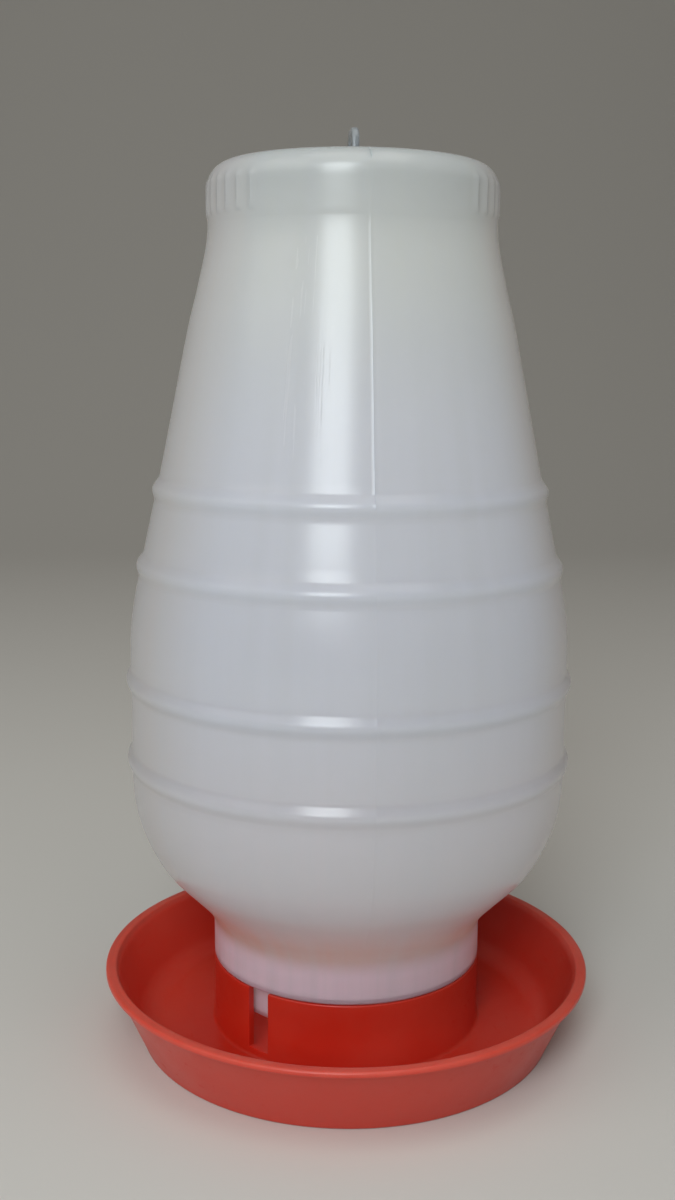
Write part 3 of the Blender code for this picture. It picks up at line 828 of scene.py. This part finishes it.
def red_plastic(finish, tray):
    """Red moulded plastic with a soft moulded skin, a changing gloss and fine scuffs."""
    skin = Surface(TRAY_SLOT)
    haze = skin.ranged(skin.noise(28.0, detail=6.0, roughness=0.6), 0.3, 0.7, 0.30, 0.46)
    scuffs = skin.noise(320.0, (1.0, 0.25, 1.0), detail=3.0, roughness=0.6)
    scuffs = skin.ranged(scuffs, 0.60, 0.72, 0.0, 0.12)
    grain = skin.product(skin.noise(480.0), 0.25)
    skin.dent(skin.calculated("ADD", grain, skin.noise(40.0)), 0.3, 0.3 * MM)
    skin.set_shader(
        Base_Color=red_colour(skin, finish, tray),
        Roughness=skin.calculated("ADD", haze, scuffs),
        Subsurface_Weight=0.6, Subsurface_Radius=(1.0, 0.2, 0.12), Subsurface_Scale=4 * MM,
        IOR=1.5,
    )
    return skin.material


def floor_paper(stage):
    """Plain pale matt paper."""
    skin = Surface("pale_floor")
    skin.dent(skin.noise(240.0, detail=3.0), 0.12, 0.4 * MM)
    skin.set_shader(Base_Color=(*stage.floor, 1.0), Roughness=0.85, Specular_IOR_Level=0.2)
    return skin.material


def hang_window(name, turn, place, size, power, tint):
    """A soft rectangular lamp that looks at the jar, placed by its direction from it and its distance."""
    azimuth, elevation, distance = place
    data = bpy.data.lights.new(name, "AREA")
    data.shape = "RECTANGLE"
    data.size, data.size_y = size
    data.energy = power
    data.color = tint
    lamp = bpy.data.objects.new(name, data)
    bpy.context.scene.collection.objects.link(lamp)
    level = outward(turn + math.radians(azimuth)) * math.cos(math.radians(elevation))
    away = level + Vector((0.0, 0.0, math.sin(math.radians(elevation))))
    lamp.location = Vector(WINDOW_AIM) + away * distance
    lamp.rotation_euler = away.to_track_quat("Z", "Y").to_euler()


class DRINKER_OT_jar(bpy.types.Operator):
    """Model the milky jar with its hoops, grip ribs, mould seam, mouth lugs and hanging tab"""

    bl_idname = "mesh.drinker_jar"
    bl_label = "Drinker Jar"
    bl_options = {"REGISTER", "UNDO"}

    def execute(self, context):
        scene = context.scene
        jar = scene.drinker_jar
        shell = extrude_rings("jar_shell", jar_rings(jar), JAR_FACETS)
        bpy.ops.mesh.merge(type="CENTER")
        recalculate()
        shape_grip_ribs(shell, jar)
        shape_seam(shell, jar)
        recalculate()
        bpy.ops.object.mode_set(mode="OBJECT")
        apply_modifier(shell, "SOLIDIFY", thickness=jar.wall, offset=-1.0, use_even_offset=True)
        boolean(shell, model_tab(jar), "UNION")
        boolean(shell, model_lugs(jar, scene.drinker_tray), "UNION")
        smooth(shell, SMOOTH_UP_TO)
        shell.data.materials.clear()
        shell.data.materials.append(milky_plastic(scene.drinker_finish, jar))
        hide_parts("jar")
        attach(shell, "jar")
        return {"FINISHED"}


class DRINKER_OT_tray(bpy.types.Operator):
    """Model the red tray with its lip, trough, foot ring, collar, water slots and catches"""

    bl_idname = "mesh.drinker_tray"
    bl_label = "Drinker Tray"
    bl_options = {"REGISTER", "UNDO"}

    def execute(self, context):
        scene = context.scene
        tray = scene.drinker_tray
        rings = tray_rings(tray)
        dish = extrude_rings("tray_dish", rings, TRAY_FACETS)
        bpy.ops.mesh.merge(type="CENTER")
        near = 0.01 * MM
        first_r, first_z = rings[0]
        select_by_place(dish, lambda p: abs(p.xy.length - first_r) < near and abs(p.z - first_z) < near)
        bpy.ops.mesh.edge_face_add()
        recalculate()
        bpy.ops.object.mode_set(mode="OBJECT")
        boolean(dish, model_catches(tray), "UNION")
        boolean(dish, model_slot_bar(tray), "DIFFERENCE")
        smooth(dish, SMOOTH_UP_TO)
        dish.data.materials.clear()
        dish.data.materials.append(red_plastic(scene.drinker_finish, tray))
        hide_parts("tray")
        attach(dish, "tray")
        return {"FINISHED"}


class DRINKER_OT_stage(bpy.types.Operator):
    """Set up the pale floor and backdrop, the soft lamps and the camera"""

    bl_idname = "scene.drinker_stage"
    bl_label = "Drinker Stage"
    bl_options = {"REGISTER", "UNDO"}

    def execute(self, context):
        scene = context.scene
        stage = scene.drinker_stage
        self.add_floor(stage)
        for name, (place, size, power, tint) in WINDOWS.items():
            hang_window(name, stage.camera_azimuth, place, size, power, tint)
        self.add_inside_glow(scene)
        self.add_world(scene)
        self.add_camera(scene, stage)
        scene.view_settings.view_transform = "Standard"
        return {"FINISHED"}

    def add_floor(self, stage):
        clear_selection()
        bpy.ops.mesh.primitive_plane_add(size=1.0, location=(0.0, 0.0, 0.0))
        floor = bpy.context.object
        floor.name = "studio_floor"
        floor.scale = (FLOOR_WIDTH, FLOOR_DEPTH, 1.0)
        bpy.ops.object.transform_apply(location=True, rotation=True, scale=True)
        bpy.ops.object.mode_set(mode="EDIT")
        near_back = FLOOR_DEPTH / 2 - 0.1
        select_by_place(floor, lambda place: place.y > near_back)
        bpy.ops.mesh.extrude_region_move(TRANSFORM_OT_translate={"value": (0.0, 0.0, BACKDROP_HEIGHT)})
        select_by_place(floor, lambda place: place.y > near_back and place.z < 0.1)
        bpy.ops.mesh.bevel(offset=BACKDROP_BEND, segments=24, affect="EDGES")
        bpy.ops.object.mode_set(mode="OBJECT")
        smooth(floor, SMOOTH_UP_TO)
        floor.data.materials.append(floor_paper(stage))

    def add_inside_glow(self, scene):
        """Weak lamps inside the jar, for the daylight that its wall lets in and the renderer stops."""
        for height in GLOW_HEIGHTS:
            data = bpy.data.lights.new("inside_glow", "POINT")
            data.energy = GLOW_POWER
            data.color = GLOW_TINT
            data.shadow_soft_size = GLOW_RADIUS
            glow = bpy.data.objects.new("inside_glow", data)
            scene.collection.objects.link(glow)
            glow.location = (0.0, 0.0, height)
            glow.visible_camera = False
            glow.visible_glossy = False

    def add_world(self, scene):
        world = bpy.data.worlds.new("studio_world")
        world.use_nodes = True
        background = world.node_tree.nodes["Background"]
        background.inputs["Color"].default_value = ROOM_TINT
        background.inputs["Strength"].default_value = ROOM_STRENGTH
        scene.world = world

    def add_camera(self, scene, stage):
        data = bpy.data.cameras.new("photo_camera")
        data.sensor_fit = "HORIZONTAL"
        data.sensor_width = 36.0
        data.lens = stage.lens
        data.clip_start = 0.01
        camera = bpy.data.objects.new("photo_camera", data)
        scene.collection.objects.link(camera)
        yaw, pitch, roll = stage.camera_yaw, stage.camera_pitch, stage.camera_roll
        look = Vector((math.sin(yaw) * math.cos(pitch), math.cos(yaw) * math.cos(pitch), -math.sin(pitch)))
        right = Vector((math.cos(yaw), -math.sin(yaw), 0.0))
        up = right.cross(look)
        level_right = right * math.cos(roll) + up * math.sin(roll)
        level_up = up * math.cos(roll) - right * math.sin(roll)
        turned = Matrix((level_right, level_up, -look)).transposed().to_4x4()
        place = Matrix.Translation((0.0, -stage.camera_distance, stage.camera_height))
        camera.matrix_world = Matrix.Rotation(stage.camera_azimuth, 4, "Z") @ place @ turned
        scene.camera = camera


class DRINKER_PT_panel(bpy.types.Panel):
    """Lists the drinker's pieces"""

    bl_idname = "DRINKER_PT_panel"
    bl_label = "Poultry Drinker"
    bl_space_type = "VIEW_3D"
    bl_region_type = "UI"
    bl_category = "Drinker"

    def draw(self, context):
        layout = self.layout
        for operator in (DRINKER_OT_jar, DRINKER_OT_tray, DRINKER_OT_stage):
            layout.operator(operator.bl_idname)
        for group in GROUPS:
            box = layout.box()
            settings = getattr(context.scene, group)
            for name in settings.__annotations__:
                box.prop(settings, name)


GROUPS = {
    "drinker_jar": DrinkerJarSettings,
    "drinker_tray": DrinkerTraySettings,
    "drinker_finish": DrinkerFinishSettings,
    "drinker_stage": DrinkerStageSettings,
}
CLASSES = (*GROUPS.values(), DRINKER_OT_jar, DRINKER_OT_tray, DRINKER_OT_stage, DRINKER_PT_panel)


def register():
    for cls in CLASSES:
        bpy.utils.register_class(cls)
    for name, group in GROUPS.items():
        setattr(bpy.types.Scene, name, PointerProperty(type=group))


def unregister():
    for name in GROUPS:
        delattr(bpy.types.Scene, name)
    for cls in reversed(CLASSES):
        bpy.utils.unregister_class(cls)


def main():
    register()
    bpy.ops.mesh.drinker_jar()
    bpy.ops.mesh.drinker_tray()
    bpy.ops.scene.drinker_stage()


if __name__ == "__main__":
    main()
